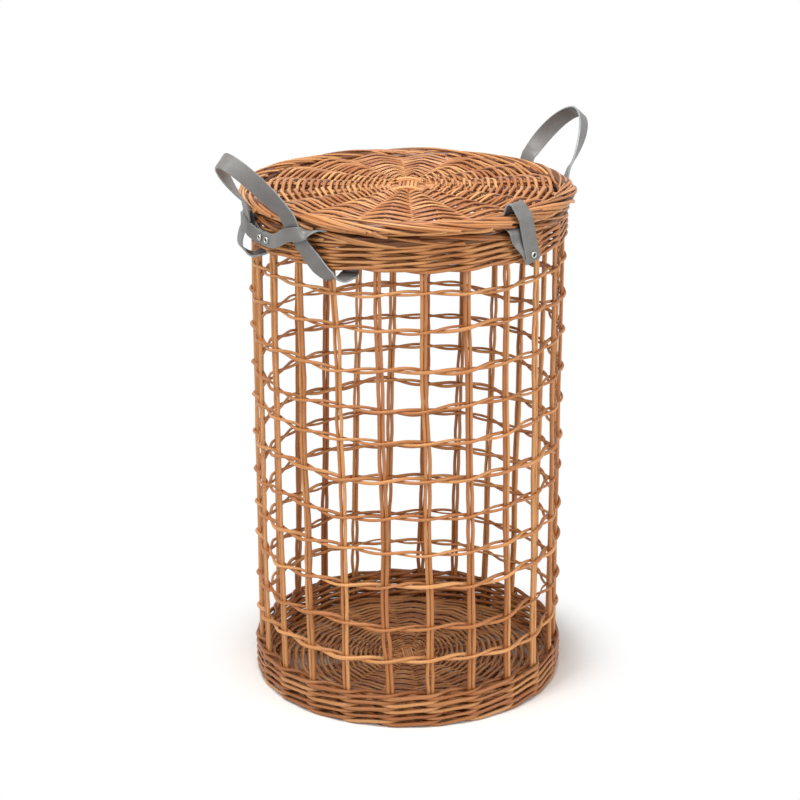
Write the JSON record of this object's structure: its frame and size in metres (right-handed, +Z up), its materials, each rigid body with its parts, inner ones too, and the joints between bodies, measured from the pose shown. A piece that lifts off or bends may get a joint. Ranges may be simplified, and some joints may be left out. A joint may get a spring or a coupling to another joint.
{
  "type": "wicker laundry hamper",
  "caption": "Round openwork willow laundry hamper with woven bands, a hinged woven lid, leather strap handles, a keeper strap and a pull tab.",
  "frame": {"origin": "middle of the flat underside, on the hamper's axis, at floor level", "axes": "+Z up along the hamper's axis, -Y towards the pull tab at the front, +Y towards the lid's hinge, handles on the left (-X) and right (+X)"},
  "size_m": [0.5243, 0.4056, 0.6956],
  "materials": {
    "willow": "satin lacquer on peeled willow rods",
    "leather": "smooth grey strap leather with bare cut edges",
    "nickel": "nickel plated rivets"
  },
  "bodies": {
    "basket": {"stake_01": "willow", "stake_02": "willow", "stake_03": "willow", "stake_04": "willow", "stake_05": "willow", "stake_06": "willow", "stake_07": "willow", "stake_08": "willow", "stake_09": "willow", "stake_10": "willow", "stake_11": "willow", "stake_12": "willow", "stake_13": "willow", "stake_14": "willow", "stake_15": "willow", "stake_16": "willow", "stake_17": "willow", "stake_18": "willow", "stake_19": "willow", "stake_20": "willow", "stake_21": "willow", "stake_22": "willow", "stake_23": "willow", "stake_24": "willow", "fitch_row_01": "willow", "fitch_row_02": "willow", "fitch_row_03": "willow", "fitch_row_04": "willow", "fitch_row_05": "willow", "fitch_row_06": "willow", "fitch_row_07": "willow", "fitch_row_08": "willow", "fitch_row_09": "willow", "fitch_row_10": "willow", "fitch_row_11": "willow", "foot_band": "willow", "base_weave": "willow", "base_cross": "willow", "top_band": "willow", "rim_border": "willow", "keeper_strap": "leather", "hinge_strap_left": "leather", "hinge_strap_right": "leather", "handle_left_leg_back": "leather", "handle_left_leg_front": "leather", "handle_right_leg_front": "leather", "handle_right_leg_back": "leather", "keeper_rivet_1": "nickel", "keeper_rivet_2": "nickel", "hinge_rivet_left": "nickel", "hinge_rivet_right": "nickel"},
    "lid": {"lid_border": "willow", "lid_weave": "willow", "lid_cross": "willow", "hinge_loop_left": "leather", "hinge_loop_right": "leather"},
    "pull_tab": {"pull_tab": "leather", "pull_tab_rivet": "nickel"},
    "handle_left": {"handle_left": "leather"},
    "handle_right": {"handle_right": "leather"}
  },
  "joints": [
    {"name": "lid_hinge", "type": "hinge", "parent": "basket", "child": "lid", "pos_m": [0, 0.1985, 0.604], "axis": [-1, 0, 0], "range_deg": [0, 105]},
    {"name": "handle_left_swing", "type": "hinge", "parent": "basket", "child": "handle_left", "pos_m": [-0.19915, -0.01463, 0.613], "axis": [0.0732, -0.9973, 0], "range_deg": [-25, 75]},
    {"name": "handle_right_swing", "type": "hinge", "parent": "basket", "child": "handle_right", "pos_m": [0.1991, -0.00695, 0.613], "axis": [0.0349, 0.9994, 0], "range_deg": [-26, 79]},
    {"name": "pull_tab_swing", "type": "hinge", "parent": "lid", "child": "pull_tab", "pos_m": [0.02352, -0.19156, 0.613], "axis": [-0.9925, -0.1219, 0], "range_deg": [0, 100]}
  ]
}
